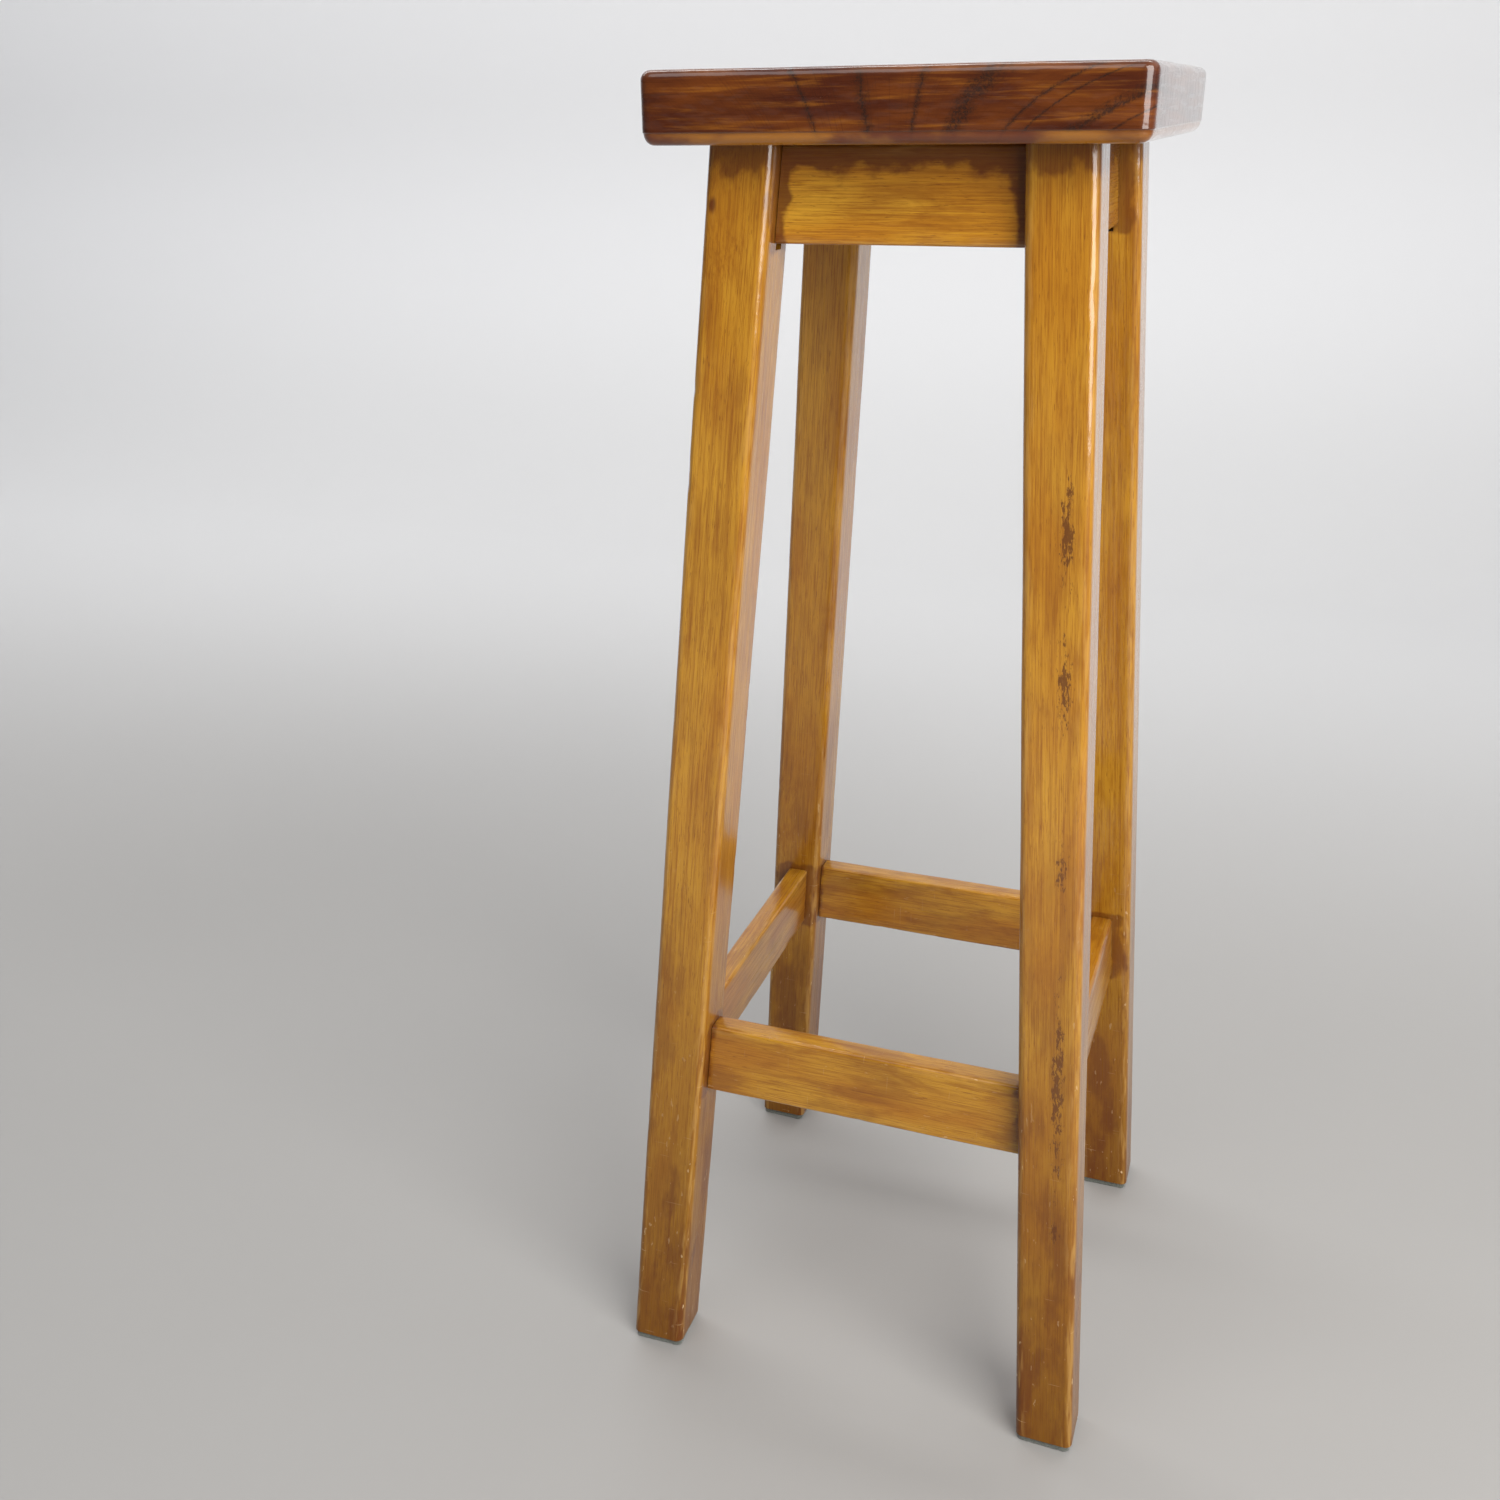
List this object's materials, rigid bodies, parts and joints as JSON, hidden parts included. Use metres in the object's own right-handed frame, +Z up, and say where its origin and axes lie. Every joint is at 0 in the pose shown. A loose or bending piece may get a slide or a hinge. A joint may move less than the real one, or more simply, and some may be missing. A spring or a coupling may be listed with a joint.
{
  "type": "bar stool",
  "caption": "Tall square wooden bar stool: thick board seat on splayed square legs, joined by aprons and a ring of low foot rails, on felt pads.",
  "frame": {"origin": "middle of the footprint, at floor level under the felt pads", "axes": "+Z up along the stool's height, -Y to the front, +X to the sitter's right when seen from the front"},
  "size_m": [0.3054, 0.3054, 0.8],
  "materials": {
    "seat_wood": "dark reddish stain under clear gloss varnish",
    "leg_wood": "golden oak stain under clear gloss varnish",
    "rail_wood": "golden oak stain under clear gloss varnish, darker at the joints",
    "block_wood": "bare sawn wood",
    "screw_steel": "zinc plated",
    "pad_felt": "grey needled felt"
  },
  "bodies": {
    "root": {"seat": "seat_wood", "leg_front_left": "leg_wood", "leg_front_right": "leg_wood", "leg_back_right": "leg_wood", "leg_back_left": "leg_wood", "apron_front": "rail_wood", "apron_right": "rail_wood", "apron_back": "rail_wood", "apron_left": "rail_wood", "stretcher_front": "rail_wood", "stretcher_right": "rail_wood", "stretcher_back": "rail_wood", "stretcher_left": "rail_wood", "corner_block_front_left": "block_wood", "corner_block_front_right": "block_wood", "corner_block_back_right": "block_wood", "corner_block_back_left": "block_wood", "seat_screw_front_left": "screw_steel", "seat_screw_front_right": "screw_steel", "seat_screw_back_right": "screw_steel", "seat_screw_back_left": "screw_steel", "felt_pad_front_left": "pad_felt", "felt_pad_front_right": "pad_felt", "felt_pad_back_right": "pad_felt", "felt_pad_back_left": "pad_felt"}
  },
  "joints": []
}
